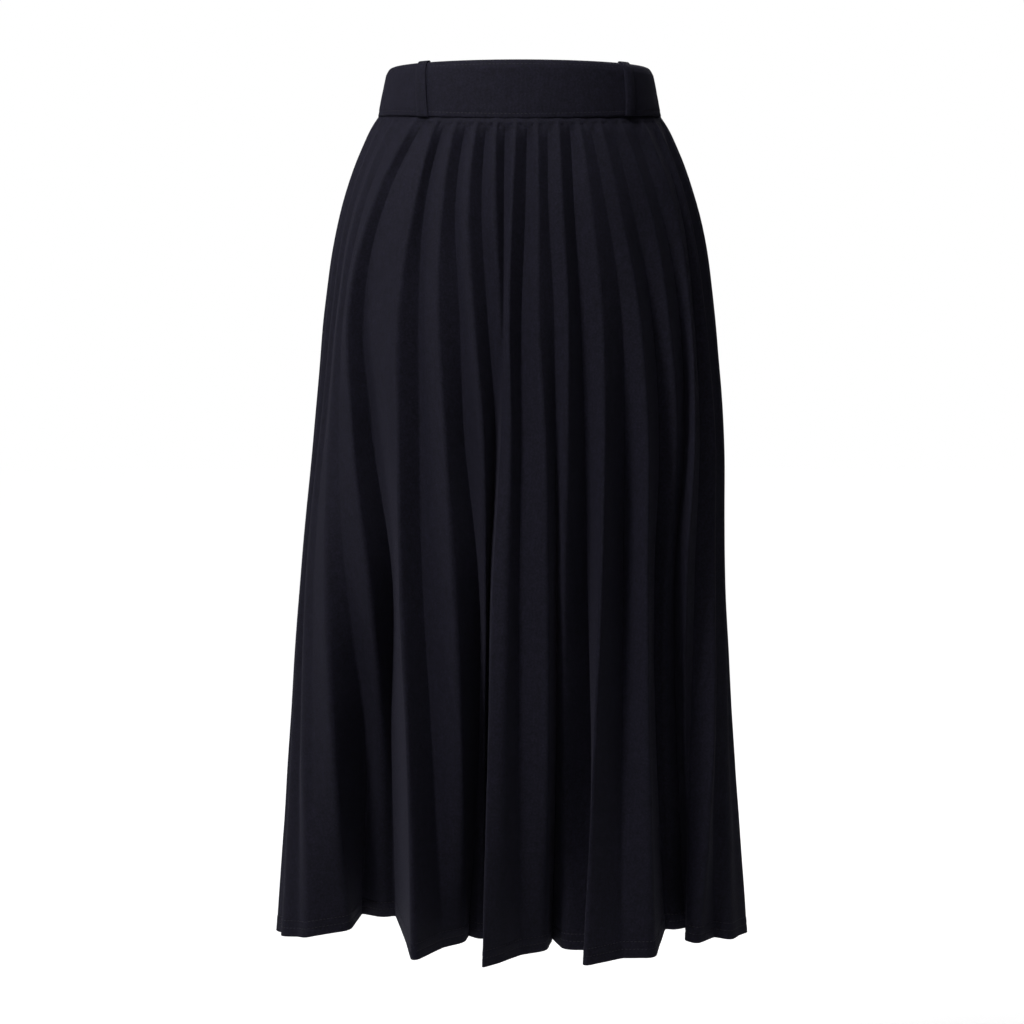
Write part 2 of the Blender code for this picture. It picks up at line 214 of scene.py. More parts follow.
# The knit's noises: scale, detail and roughness.
FIBRE = (560.0, 1.5, 0.6)
MOTTLE = (170.0, 3.0, 0.6)
STREAK = (420.0, 1.0)
PUCKER = (46.0, 3.0, 0.55)
# How much each adds to the knit's colour, light, roughness and height.
KNIT = {
    # The stitch pattern's share of the colour is painted shade: darker between the yarns.
    "stitch painted shade": 0.5, "fibre colour": 0.75, "least colour": -0.1,
    "mottle light": 0.46, "streak light": 0.20, "least light": 0.67,
    "fibre roughness": 0.10, "least roughness": 0.72,
    "stitch height": 0.8, "pucker height": 2.6, "fibre height": 0.35, "mottle height": 0.5,
}

# The studio: each light's name, place, aim, size and power setting, and the glow of the floor by distance.
LIGHTS = (
    ("key_light", (-0.84, -1.12, 1.25), (0.05, 0.0, -0.2), 0.42, "key_power"),
    ("side_light", (-2.6, 0.12, 0.65), (0.0, 0.0, -0.32), 1.0, "side_power"),
    ("top_light", (-0.3, -0.8, 2.6), (0.0, 0.0, -0.32), 1.2, "top_power"),
    ("back_light", (0.3, 1.7, 1.6), (0.0, 0.0, -0.32), 1.2, "back_power"),
)
CAMERA_PLACE = (-0.0066, -SEEN_FROM, -0.199)
CAMERA_TILT = 3.86
CAMERA_LENS = 96.2
FLOOR_RADIUS = 14.0
FLOOR_GLOW = {"From Min": 0.3, "From Max": 2.6, "To Min": 0.64, "To Max": 1.0}


class SkirtClothSettings(bpy.types.PropertyGroup):
    """Sizes of the cloth and the sewing."""

    cloth_thickness: FloatProperty(
        name="Cloth thickness", description="Thickness of one layer of the knit",
        default=0.0010, unit="LENGTH",
    )
    hem_thickness: FloatProperty(
        name="Hem thickness", description="Thickness of the turned hem", default=0.0016, unit="LENGTH"
    )
    hem_rows: FloatVectorProperty(
        name="Hem stitch rows", description="Height of the two hem stitch rows above the edge",
        size=2, default=(0.0076, 0.0140), unit="LENGTH",
    )
    unevenness: FloatProperty(
        name="Unevenness", description="How far the cloth strays from its clean folds",
        default=0.0013, unit="LENGTH",
    )
    gather: FloatProperty(
        name="Gather", description="Depth of the short slits that start each fold under the waist seam",
        default=0.0022, unit="LENGTH",
    )
    bend_steps: IntProperty(name="Bend steps", description="Mesh steps round each fold", default=4)
    flat_steps: IntProperty(name="Flat steps", description="Mesh steps between two folds", default=3)
    rows: IntProperty(name="Rows", description="Mesh rows down each panel", default=110)
    stitch_length: FloatProperty(
        name="Stitch length", description="Length of one stitch", default=0.0025, unit="LENGTH"
    )
    stitch_pitch: FloatProperty(
        name="Stitch pitch", description="Distance from one stitch to the next", default=0.0034, unit="LENGTH"
    )
    thread: FloatProperty(
        name="Thread", description="Thickness of the sewing thread", default=0.00045, unit="LENGTH"
    )
    loop_width: FloatProperty(
        name="Belt loop width", description="Width of each belt loop", default=0.0102, unit="LENGTH"
    )


class SkirtKnitSettings(bpy.types.PropertyGroup):
    """Colours and sizes of the knit."""

    yarn: FloatVectorProperty(
        name="Yarn", description="Colour of the yarn on top",
        subtype="COLOR", default=(0.0188, 0.0174, 0.0350),
    )
    # Shade is painted shade: the yarn colour darkened between the yarns, where shade falls in the knit.
    shade: FloatVectorProperty(
        name="Shade", description="Colour between the yarns",
        subtype="COLOR", default=(0.0060, 0.0055, 0.0118),
    )
    thread: FloatVectorProperty(
        name="Thread", description="Colour of the sewing thread",
        subtype="COLOR", default=(0.026, 0.024, 0.036),
    )
    wale: FloatProperty(
        name="Wale width", description="Width of one column of stitches", default=0.00095, unit="LENGTH"
    )
    course: FloatProperty(
        name="Course height", description="Height of one row of stitches", default=0.00075, unit="LENGTH"
    )


class SkirtStudioSettings(bpy.types.PropertyGroup):
    """Sizes and lights of the studio."""

    floor_z: FloatProperty(
        name="Floor", description="Height of the floor", default=-1.04, unit="LENGTH"
    )
    key_power: FloatProperty(
        name="Key light", description="Power of the high left light", default=18.0, unit="POWER"
    )
    side_power: FloatProperty(
        name="Side light", description="Power of the low left light", default=8.0, unit="POWER"
    )
    top_power: FloatProperty(
        name="Top light", description="Power of the light overhead", default=21.0, unit="POWER"
    )
    back_power: FloatProperty(
        name="Back light", description="Power of the light behind", default=16.0, unit="POWER"
    )
    air: FloatProperty(name="Air", description="Strength of the pale surroundings", default=0.001)


def column(table, columns, name):
    """One named column of a table, as an array."""
    return np.array([row[columns.index(name)] for row in table], float)


def smooth_read(at, knots, values):
    """A smooth curve through values at the knots, read at one place."""
    knots, values = np.asarray(knots, float), np.asarray(values, float)
    slopes = np.gradient(values, knots)
    i = int(np.clip(np.searchsorted(knots, at) - 1, 0, len(knots) - 2))
    span = knots[i + 1] - knots[i]
    t = min(max((at - knots[i]) / span, 0.0), 1.0)
    ease = t * t * (3 - 2 * t)
    leave = t * (1 - t) ** 2 * span * slopes[i]
    arrive = t * t * (1 - t) * span * slopes[i + 1]
    return values[i] * (1 - ease) + values[i + 1] * ease + leave - arrive


def outline_at(drop):
    """The outline's sizes at one drop below the waist seam, by name."""
    drops = column(OUTLINE, OUTLINE_COLUMNS, "drop")
    return {
        name: float(smooth_read(drop, drops, column(OUTLINE, OUTLINE_COLUMNS, name)))
        for name in OUTLINE_COLUMNS[1:]
    }


SEAM_OUTLINE = outline_at(0.0)


def front_folds_at(drop):
    """(angle, set-back in metres) of each fold of the front panel at one drop."""
    level_drops = list(LEVEL_DROPS.values())
    depth_drops = list(SET_BACK_DROPS.values())
    folds = []
    for row in FOLDS:
        named = dict(zip(FOLD_COLUMNS, row))
        angle = smooth_read(drop, level_drops, [named[level] for level in LEVEL_DROPS])
        is_groove = named["fold"] == "groove"
        upper = [is_groove * GROOVE_AT_SEAM, is_groove * GROOVE_AT_STRIP]
        upper += [GATHER_SHARE * named["at_yoke"], named["at_yoke"]]
        lower = [named["at_hip"], named["at_knee"], named["at_calf"], named["at_hem"]]
        set_back = smooth_read(drop, depth_drops, upper + lower)
        folds.append((float(angle), max(0.0, float(set_back)) / 1000))
    return folds


def ring_of_folds(drop):
    """(angle, set-back) of every fold round the skirt. The back repeats the front's folds, shallower."""
    front = front_folds_at(drop)
    left, right = front[0][0], front[-1][0]
    back_start, back_span = right, (left + 360) - right
    ease = 1 + (BACK_EASE - 1) * min(1.0, drop / LEVEL_DROPS["hem"]) ** 0.5
    back = [
        (back_start + (angle - left) / (right - left) * back_span, set_back * ease)
        for angle, set_back in front[1:-1]
    ]
    return front + back, len(front)


def plan_point(angle, set_back, outline):
    """The plan place of a fold: on the outline at that angle, then set back into the skirt."""
    turn = math.radians(angle)
    across, ahead = math.sin(turn), math.cos(turn)
    from_middle = min(abs((angle + 180) % 360 - 180), 180 - abs((angle + 180) % 360 - 180))
    t = min(max((from_middle - SIDE_START) / (90 - SIDE_START), 0.0), 1.0)
    inward = math.pi / 2 * t * t * (3 - 2 * t)
    depth = outline["front_depth"] if ahead > 0 else outline["back_depth"]
    forward = depth * ahead - math.copysign(set_back * math.cos(inward), ahead)
    x = outline["half_width"] * across * (1 - max(0.0, forward if ahead > 0 else 0.0) / SEEN_FROM)
    x -= math.copysign(set_back * math.sin(inward), across)
    return np.array([x + outline["sway"], -forward])


def turn_of(point, outline):
    """The angle round the outline at which a plan point lies."""
    depth = outline["front_depth"] if point[1] < 0 else outline["back_depth"]
    return math.degrees(math.atan2((point[0] - outline["sway"]) / outline["half_width"], -point[1] / depth))


def seam_z(angle):
    """The height of the waist seam at an angle: lowest at the front, highest at the sides."""
    ahead = math.cos(math.radians(angle))
    low = SEAM_AT_FRONT if ahead > 0 else SEAM_AT_BACK
    return SEAM_AT_SIDES + (low - SEAM_AT_SIDES) * ahead * ahead


def folded_line(corners, reach, bend_steps, flat_steps):
    """A closed line with a soft bend at each corner, tighter at the grooves, which are every other corner
    from the first. Corners may hold more numbers than x and y.

    Returns the points, and for each point its place along the corners, which is whole at a fold."""
    count = len(corners)
    on = np.roll(corners, -1, axis=0) - corners
    lengths = np.maximum(np.linalg.norm(on[:, :2], axis=1), 1e-9)
    reaches = reach * np.where(np.arange(count) % 2 == 0, GROOVE_BEND, 1.0)
    shares_out = np.minimum(BEND_LIMIT, reaches / lengths)
    shares_in = np.minimum(BEND_LIMIT, reaches / np.roll(lengths, 1))
    points, places = [], []
    for i, corner in enumerate(corners):
        share_in, share_out, next_in = shares_in[i], shares_out[i], shares_in[(i + 1) % count]
        start, end = corner - on[i - 1] * share_in, corner + on[i] * share_out
        for step in range(bend_steps + 1):
            t = step / bend_steps
            points.append((1 - t) ** 2 * start + 2 * t * (1 - t) * corner + t * t * end)
            places.append(i - share_in * (1 - t) + share_out * t)
        for step in range(1, flat_steps):
            along = share_out + (1 - share_out - next_in) * step / flat_steps
            points.append(corner + on[i] * along)
            places.append(i + along)
    return np.array(points), np.array(places)


def outward(line):
    """Unit outward directions in plan along a closed line of points."""
    along = np.roll(line, -1, axis=0) - np.roll(line, 1, axis=0)
    side = np.stack([along[:, 1], -along[:, 0]], axis=1)
    return side / np.linalg.norm(side, axis=1, keepdims=True)


def wander(x, y, z, kind):
    """Smooth unevenness between -1 and 1, of one of the WAVES, three times as tall as across."""
    size, seed = WAVES[kind]
    return noise.noise(Vector((x / size + seed, y / size, z / (3 * size))))


def cloth_row(drop, settings):
    """One row of the cloth all round.

    Returns its 3D points, their outward directions in plan, the cloth's length up to each point and the
    places of the two side seams."""
    outline = outline_at(drop)
    folds, front_count = ring_of_folds(drop)
    corners = np.array([
        (*plan_point(angle, set_back, outline), HEM_Z + HEM_LIFT * set_back) for angle, set_back in folds
    ])
    line, places = folded_line(corners, outline["bend"], settings.bend_steps, settings.flat_steps)
    per_fold = settings.bend_steps + settings.flat_steps
    left = settings.bend_steps // 2
    right = (front_count - 1) * per_fold + left
    share = drop / LEVEL_DROPS["hem"]
    out = outward(line[:, :2])
    start = min(max((drop - GATHER_START) / GATHER_RAMP, 0.0), 1.0)
    fade = math.exp(-max(0.0, drop - GATHER_WHOLE_TO) / GATHER_FADE)
    slit_depth = settings.gather * start * start * (3 - 2 * start) * fade
    rise = LEVEL_DROPS["hem"] - drop
    hem_dip = sum(math.exp(-(((rise - row) / HEM_DIP_SPREAD) ** 2)) for row in settings.hem_rows)
    loose = min(1.0, drop / LOOSE_BELOW)
    points = []
    for (x, y, low), (ox, oy), place in zip(line, out, places):
        top = seam_z(turn_of((x, y), outline)) + SEAM_TUCK
        z = top + (low - top) * share
        push = -slit_depth * max(0.0, -math.cos(2 * math.pi * place)) ** 2
        push += loose * settings.unevenness * wander(x, y, z, "cloth")
        push += loose * FINE_SHARE * settings.unevenness * wander(x, y, z, "fine cloth")
        push -= HEM_STITCH_DIP * hem_dip
        push += HEM_RIPPLE * max(0.0, 1 - rise / HEM_RIPPLE_HEIGHT) * wander(x, y, z, "hem")
        points.append((x + ox * push, y + oy * push, z))
    points = np.array(points)
    steps = np.linalg.norm(np.roll(points, -1, axis=0)[:, :2] - points[:, :2], axis=1)
    lengths = np.concatenate([[0.0], np.cumsum(steps)])
    return points, out, lengths, (left, right)


def row_drops(rows):
    """Drops of the mesh rows: close together under the seam and in the hem, wider between."""
    near_seam = np.linspace(0.0, GATHER_ROWS_TO, max(6, rows // 5), endpoint=False)
    hem = np.linspace(HEM_ROWS_FROM, LEVEL_DROPS["hem"], max(8, rows // 6))
    between = rows - len(near_seam) - len(hem)
    middle = np.linspace(GATHER_ROWS_TO, HEM_ROWS_FROM, between, endpoint=False)
    return np.concatenate([near_seam, middle, hem])


ROW_CACHE = {}


def cloth_rows(settings):
    """Every row of the cloth, worked out once for both panels."""
    key = (settings.bend_steps, settings.flat_steps, settings.rows)
    if key not in ROW_CACHE:
        drops = [float(drop) for drop in row_drops(settings.rows)]
        ROW_CACHE[key] = [(drop, *cloth_row(drop, settings)) for drop in drops]
    return ROW_CACHE[key]


def panel_span(panel, count, seams):
    """The places along a row that a panel covers, from one side seam to the other."""
    left, right = seams
    return list(range(left, right + 1)) if panel == "front" else list(range(right, left + count + 1))


def panel_grid(panel, settings):
    """Points and cloth coordinates of a panel, [row][place], from the waist seam to the hem."""
    grid, cloth = [], []
    for drop, points, out, lengths, seams in cloth_rows(settings):
        count = len(points)
        span = panel_span(panel, count, seams)
        row = [np.array(points[i % count]) for i in span]
        round_ = [lengths[i % count] + (lengths[-1] if i >= count else 0.0) for i in span]
        middle = (round_[0] + round_[-1]) / 2
        for j, i in enumerate(span):
            edge = min(round_[j] - round_[0], round_[-1] - round_[j])
            roll = SEAM_ROLL * max(0.0, 1 - edge / SEAM_ROLL_WIDTH) ** 2
            row[j][:2] -= out[i % count] * roll
        for end, near in ((0, 1), (-1, -2)):
            toward = row[near] - row[end]
            row[end] = row[end] + toward * (SEAM_GAP / 2 / np.linalg.norm(toward))
        grid.append(row)
        cloth.append([(r - middle, -drop) for r in round_])
    return grid, cloth


def cloth_grid_mesh(name, grid, cloth, weld=False):
    """A grid of cloth: a flat bmesh grid whose points are moved to their places, with cloth coordinates.

    weld joins the first place of each row to the last, and the first row to the last, as on a band."""
    rows, places = len(grid), len(grid[0])
    bm = bmesh.new()
    bmesh.ops.create_grid(bm, x_segments=places - 1, y_segments=rows - 1, size=0.5)
    uv = bm.loops.layers.uv.new("cloth")
    spots = {}
    for vert in bm.verts:
        spots[vert] = (round((0.5 - vert.co.y) * (rows - 1)), round((vert.co.x + 0.5) * (places - 1)))
    for face in bm.faces:
        for loop in face.loops:
            r, c = spots[loop.vert]
            loop[uv].uv = cloth[r][c]
    for vert, (r, c) in spots.items():
        vert.co = grid[r][c]
    if weld:
        bmesh.ops.remove_doubles(bm, verts=bm.verts, dist=1e-6)
        bmesh.ops.recalc_face_normals(bm, faces=bm.faces)
    return finished_piece(name, bm)


def finished_piece(name, bm):
    """Turns a bmesh into a smooth-shaded object at the origin."""
    mesh = bpy.data.meshes.new(name)
    bm.to_mesh(mesh)
    bm.free()
    for polygon in mesh.polygons:
        polygon.use_smooth = True
    piece = bpy.data.objects.new(name, mesh)
    bpy.context.scene.collection.objects.link(piece)
    return piece


def give_thickness(piece, thickness, thin=1.0, group=None):
    """A live wall modifier about the piece's middle surface, and soft cut edges."""
    wall = piece.modifiers.new("cloth wall", "SOLIDIFY")
    wall.thickness = thickness
    wall.offset = 0.0
    if group:
        wall.vertex_group = group
        wall.thickness_vertex_group = thin
    edge = piece.modifiers.new("soft cut edges", "BEVEL")
    edge.width = thickness * 0.3
    edge.segments = 2
    edge.limit_method = "ANGLE"
    edge.angle_limit = math.radians(65)


def band_point(angle, up, out):
    """A point of the waistband: up from 0 at the seam to 1 at the top edge, out from its middle layer."""
    turn = math.radians(angle)
    seam = SEAM_OUTLINE
    depth = seam["front_depth"] if math.cos(turn) > 0 else seam["back_depth"]
    half_x = seam["half_width"] + (BAND_TOP_WIDTH / 2 - seam["half_width"]) * up
    half_y = depth + (BAND_TOP_DEPTH / 2 - depth) * up
    normal = np.array([half_y * math.sin(turn), -half_x * math.cos(turn)])
    normal /= np.linalg.norm(normal)
    out -= BAND_TOP_CURL * max(0.0, (up - BAND_CURL_FROM) / BAND_CURL_SPAN) ** 2
    plan = np.array([half_x * math.sin(turn), -half_y * math.cos(turn)]) + normal * out
    low = seam_z(angle)
    return np.array([plan[0], plan[1], low + (BAND_TOP - low) * up])


def band_surface(angle, up):
    """The outer face of the waistband, with the dips along its two stitch rows."""
    height = BAND_TOP - seam_z(angle)
    rise, fall = up * height, (1 - up) * height
    dip = BAND_STITCH_DIP * math.exp(-(((fall - BAND_STITCH_ROWS["top"]) / BAND_DIP_SPREAD) ** 2))
    dip += BAND_STITCH_DIP * math.exp(-(((rise - BAND_STITCH_ROWS["seam"]) / BAND_DIP_SPREAD) ** 2))
    x, y, z = band_point(angle, up, BAND_THICK / 2)
    swell = BAND_SWELL * wander(x, y, z * 2.0, "band") + BAND_RIPPLE * wander(x, y, z * 2.5, "fine band")
    middle = 1 - abs(2 * up - 1) ** 3
    return BAND_THICK / 2 - dip + swell * middle + BAND_BULGE * middle


def new_material(name, colour):
    """An empty node material with a Principled shader, and the shader."""
    material = bpy.data.materials.new(name)
    material.use_nodes = True
    material.diffuse_color = (*colour, 1.0)
    return material, material.node_tree.nodes["Principled BSDF"]


def socketed_group(name, inputs, outputs):
    """A shader node group with named sockets: inputs are (name, kind, default)."""
    group = bpy.data.node_groups.new(name, "ShaderNodeTree")
    for label, kind, default in inputs:
        socket = group.interface.new_socket(name=label, in_out="INPUT", socket_type=kind)
        if default is not None:
            socket.default_value = default
    for label, kind in outputs:
        group.interface.new_socket(name=label, in_out="OUTPUT", socket_type=kind)
    return group, group.nodes.new("NodeGroupInput"), group.nodes.new("NodeGroupOutput")


def maths(tree, operation, *values):
    """A Math node: each value is a number or a socket. Returns its output."""
    node = tree.nodes.new("ShaderNodeMath")
    node.operation = operation
    for socket, value in zip(node.inputs, values):
        if isinstance(value, (int, float)):
            socket.default_value = value
        else:
            tree.links.new(value, socket)
    return node.outputs[0]


def grain(tree, vector, scale, detail, roughness=0.5):
    """A noise texture's value."""
    node = tree.nodes.new("ShaderNodeTexNoise")
    node.inputs["Scale"].default_value = scale
    node.inputs["Detail"].default_value = detail
    node.inputs["Roughness"].default_value = roughness
    tree.links.new(vector, node.inputs["Vector"])
    return node.outputs["Fac"]


def spread(tree, value, times):
    """A value between 0 and 1 with its contrast raised about the middle."""
    node = tree.nodes.new("ShaderNodeMath")
    node.operation = "MULTIPLY_ADD"
    node.use_clamp = True
    tree.links.new(value, node.inputs[0])
    node.inputs[1].default_value = times
    node.inputs[2].default_value = 0.5 - 0.5 * times
    return node.outputs[0]


def blended(tree, factor, first, second, mode="MIX"):
    """A colour mix of two sockets or colours."""
    node = tree.nodes.new("ShaderNodeMix")
    node.data_type = "RGBA"
    node.blend_type = mode
    for name, value in (("Factor_Float", factor), ("A_Color", first), ("B_Color", second)):
        socket = next(s for s in node.inputs if s.identifier == name)
        if hasattr(value, "is_output"):
            tree.links.new(value, socket)
        else:
            socket.default_value = value
    return next(s for s in node.outputs if s.identifier == "Result_Color")


def knit_group():
    """The knit: columns of V-shaped stitches, yarn colour on top and painted shade between the yarns, with
    mottled fibre and small puckers.
    """
    found = bpy.data.node_groups.get("knit stitches")
    if found:
        return found
    tree, given, put = socketed_group(
        "knit stitches",
        (("Cloth Place", "NodeSocketVector", None), ("Object Place", "NodeSocketVector", None),
         ("Wale Width", "NodeSocketFloat", 0.001), ("Course Height", "NodeSocketFloat", 0.0008),
         ("Yarn", "NodeSocketColor", None), ("Shade", "NodeSocketColor", None)),
        (("Colour", "NodeSocketColor"), ("Roughness", "NodeSocketFloat"), ("Height", "NodeSocketFloat")),
    )
    split = tree.nodes.new("ShaderNodeSeparateXYZ")
    tree.links.new(given.outputs["Cloth Place"], split.inputs[0])
    wale = maths(tree, "FRACT", maths(tree, "DIVIDE", split.outputs[0], given.outputs["Wale Width"]))
    slant = maths(tree, "MULTIPLY", maths(tree, "ABSOLUTE", maths(tree, "SUBTRACT", wale, 0.5)), 2.0)
    course = maths(tree, "DIVIDE", split.outputs[1], given.outputs["Course Height"])
    wave = maths(tree, "SINE", maths(tree, "MULTIPLY", maths(tree, "ADD", course, slant), 2 * math.pi))
    rows = maths(tree, "MULTIPLY_ADD", wave, 0.5, 0.5)
    round_ = maths(tree, "SUBTRACT", 1.0, maths(tree, "POWER", slant, 2.0))
    stitch = maths(tree, "MULTIPLY", round_, maths(tree, "MULTIPLY_ADD", rows, 0.55, 0.45))
    fibre = spread(tree, grain(tree, given.outputs["Object Place"], *FIBRE), 2.6)
    mottle = spread(tree, grain(tree, given.outputs["Object Place"], *MOTTLE), 1.6)
    long = tree.nodes.new("ShaderNodeVectorMath")
    long.operation = "MULTIPLY"
    long.inputs[1].default_value = (1.0, 0.07, 1.0)
    tree.links.new(given.outputs["Cloth Place"], long.inputs[0])
    streak = spread(tree, grain(tree, long.outputs[0], *STREAK), 1.8)
    pucker = grain(tree, given.outputs["Object Place"], *PUCKER)
    # The colour runs from Shade to Yarn by the random fibre, a real tone, and by the stitch pattern, which is
    # painted shade in the hollows between the yarns.
    shade = maths(tree, "MULTIPLY_ADD", fibre, KNIT["fibre colour"], KNIT["least colour"])
    shade = maths(tree, "MULTIPLY_ADD", stitch, KNIT["stitch painted shade"], shade)
    colour = blended(tree, shade, given.outputs["Shade"], given.outputs["Yarn"])
    light = maths(tree, "MULTIPLY_ADD", streak, KNIT["streak light"], KNIT["least light"])
    light = maths(tree, "MULTIPLY_ADD", mottle, KNIT["mottle light"], light)
    lift = tree.nodes.new("ShaderNodeVectorMath")
    lift.operation = "SCALE"
    tree.links.new(colour, lift.inputs[0])
    tree.links.new(light, lift.inputs["Scale"])
    tree.links.new(lift.outputs[0], put.inputs["Colour"])
    roughness = maths(tree, "MULTIPLY_ADD", fibre, KNIT["fibre roughness"], KNIT["least roughness"])
    tree.links.new(roughness, put.inputs["Roughness"])
    coarse = maths(tree, "MULTIPLY", mottle, KNIT["mottle height"])
    coarse = maths(tree, "MULTIPLY_ADD", fibre, KNIT["fibre height"], coarse)
    coarse = maths(tree, "MULTIPLY_ADD", pucker, KNIT["pucker height"], coarse)
    fine = maths(tree, "MULTIPLY", stitch, KNIT["stitch height"])
    tree.links.new(maths(tree, "ADD", fine, coarse), put.inputs["Height"])
    return tree


def knit_cloth(settings):
    """The dark knit that every cloth piece is made of."""
    found = bpy.data.materials.get("dark_knit_cloth")
    if found:
        return found
    material, shader = new_material("dark_knit_cloth", settings.yarn)
    tree = material.node_tree
    cloth = tree.nodes.new("ShaderNodeUVMap")
    cloth.uv_map = "cloth"
    place = tree.nodes.new("ShaderNodeTexCoord")
    knit = tree.nodes.new("ShaderNodeGroup")
    knit.node_tree = knit_group()
    knit.inputs["Wale Width"].default_value = settings.wale
    knit.inputs["Course Height"].default_value = settings.course
    knit.inputs["Yarn"].default_value = (*settings.yarn, 1.0)
    # The Shade colour is painted shade between the yarns.
    knit.inputs["Shade"].default_value = (*settings.shade, 1.0)
    tree.links.new(cloth.outputs["UV"], knit.inputs["Cloth Place"])
    tree.links.new(place.outputs["Object"], knit.inputs["Object Place"])
    bump = tree.nodes.new("ShaderNodeBump")
    bump.inputs["Strength"].default_value = 0.6
    bump.inputs["Distance"].default_value = 0.00030
    tree.links.new(knit.outputs["Height"], bump.inputs["Height"])
    tree.links.new(bump.outputs["Normal"], shader.inputs["Normal"])
    tree.links.new(knit.outputs["Colour"], shader.inputs["Base Color"])
    tree.links.new(knit.outputs["Roughness"], shader.inputs["Roughness"])
    shader.inputs["Specular IOR Level"].default_value = 0.22
    shader.inputs["Sheen Weight"].default_value = 0.05
    shader.inputs["Sheen Roughness"].default_value = 0.45
    shader.inputs["Sheen Tint"].default_value = (0.72, 0.70, 1.0, 1.0)
    return material


def sewing_thread(settings):
    """The slightly shinier sewing thread."""
    found = bpy.data.materials.get("dark_sewing_thread")
    if found:
        return found
    material, shader = new_material("dark_sewing_thread", settings.thread)
    tree = material.node_tree
    place = tree.nodes.new("ShaderNodeTexCoord")
    twist = grain(tree, place.outputs["Object"], 1500.0, 1.0)
    dark = tuple(0.6 * c for c in settings.thread)
    colour = blended(tree, twist, (*dark, 1.0), (*settings.thread, 1.0))
    tree.links.new(colour, shader.inputs["Base Color"])
    bump = tree.nodes.new("ShaderNodeBump")
    bump.inputs["Strength"].default_value = 0.4
    bump.inputs["Distance"].default_value = 0.0001
    tree.links.new(twist, bump.inputs["Height"])
    tree.links.new(bump.outputs["Normal"], shader.inputs["Normal"])
    shader.inputs["Roughness"].default_value = 0.45
    return material


def dress(piece, material):
    """Gives a piece its material and its body."""
    piece.data.materials.clear()
    piece.data.materials.append(material)
    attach(piece, "root")


def make_panel(panel, context):
    """One pleated panel, from the waist seam to the hem and from side seam to side seam."""
    settings = context.scene.skirt_cloth
    grid, cloth = panel_grid(panel, settings)
    piece = cloth_grid_mesh(f"cloth_{panel}_panel", grid, cloth)
    hem = piece.vertex_groups.new(name="turned hem")
    top_of_hem = -LEVEL_DROPS["hem"] + settings.hem_rows[1]
    uv = piece.data.uv_layers["cloth"].data
    for loop in piece.data.loops:
        if uv[loop.index].uv[1] <= top_of_hem:
            hem.add([loop.vertex_index], 1.0, "REPLACE")
    thin = settings.cloth_thickness / settings.hem_thickness
    give_thickness(piece, settings.hem_thickness, thin, "turned hem")
    dress(piece, knit_cloth(context.scene.skirt_knit))
    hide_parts(f"skirt_{panel}")
    return piece


class SKIRT_OT_front_panel(bpy.types.Operator):
    """Makes the pleated front panel"""

    bl_idname = "skirt.front_panel"
    bl_label = "Front panel"

    def execute(self, context):
        make_panel("front", context)
        return {"FINISHED"}


class SKIRT_OT_back_panel(bpy.types.Operator):
    """Makes the pleated back panel"""

    bl_idname = "skirt.back_panel"
    bl_label = "Back panel"

    def execute(self, context):
        make_panel("back", context)
        return {"FINISHED"}


class SKIRT_OT_waistband(bpy.types.Operator):
    """Makes the folded elastic waistband"""

    bl_idname = "skirt.waistband"
    bl_label = "Waistband"

    around = 240
    outer_rows = 26
    edge_rows = 5
    inner_rows = 8

    def execute(self, context):
        half, edge = BAND_THICK / 2, BAND_EDGE_ROUND
        profile = [("outer", i / self.outer_rows) for i in range(self.outer_rows + 1)]
        profile += [("top", i / self.edge_rows) for i in range(1, self.edge_rows + 1)]
        profile += [("inner", 1 - i / self.inner_rows) for i in range(1, self.inner_rows + 1)]
        profile += [("bottom", i / self.edge_rows) for i in range(1, self.edge_rows + 1)]
        grid = [[] for _ in profile]
        cloth = [[] for _ in profile]
        girth = math.pi * (BAND_TOP_WIDTH + BAND_TOP_DEPTH) / 2
        for i in range(self.around + 1):
            angle = 360 * i / self.around - 180
            height = BAND_TOP - seam_z(angle)
            low, high = edge / height, 1 - edge / height
            outer_low, outer_high = band_surface(angle, low), band_surface(angle, high)
            for row, (part, t) in enumerate(profile):
                if part == "outer":
                    up = low + (high - low) * t
                    out = band_surface(angle, up)
                elif part == "inner":
                    up, out = low + (high - low) * t, -half
                elif part == "top":
                    turn = math.pi * t
                    up = high + math.sin(turn) * edge / height
                    out = (outer_high - half) / 2 + math.cos(turn) * (outer_high + half) / 2
                else:
                    turn = math.pi * t
                    up = low - math.sin(turn) * edge / height
                    out = (outer_low - half) / 2 - math.cos(turn) * (outer_low + half) / 2
                grid[row].append(band_point(angle, up, out))
                fold = 2 - up if part in ("inner", "top") else up
                cloth[row].append((angle / 360 * girth, fold * BAND_HEIGHT))
        piece = cloth_grid_mesh("cloth_waistband", grid, cloth, weld=True)
        dress(piece, knit_cloth(context.scene.skirt_knit))
        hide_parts("waistband")
        return {"FINISHED"}


